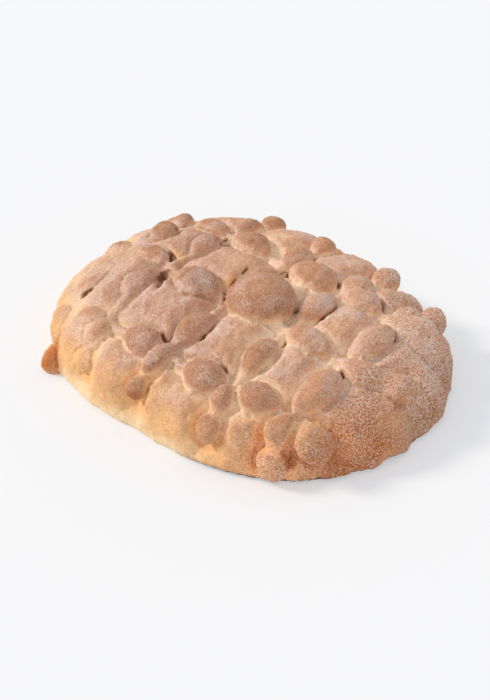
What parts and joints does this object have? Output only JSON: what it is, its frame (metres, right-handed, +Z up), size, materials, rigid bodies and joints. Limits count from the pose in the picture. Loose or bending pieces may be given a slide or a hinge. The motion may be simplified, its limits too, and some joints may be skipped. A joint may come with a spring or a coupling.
{
  "type": "pan de muerto",
  "caption": "Oval festive sweet-bread loaf with a lattice of knobbed dough ropes over its crown, a round bun near the middle and a flat base to rest on.",
  "frame": {"origin": "middle of the flat base, where the loaf rests", "axes": "+X along the loaf's length, +Y across it, +Z up from the base to the crown"},
  "size_m": [0.2928, 0.231, 0.0729],
  "materials": {
    "crust": "matte baked crust, browned on the raised dough and paler in the folds, with a fine frosting of sugar",
    "sugar": "fine white sugar crystals, slightly sparkling"
  },
  "bodies": {
    "root": {"loaf": "crust"}
  },
  "joints": []
}
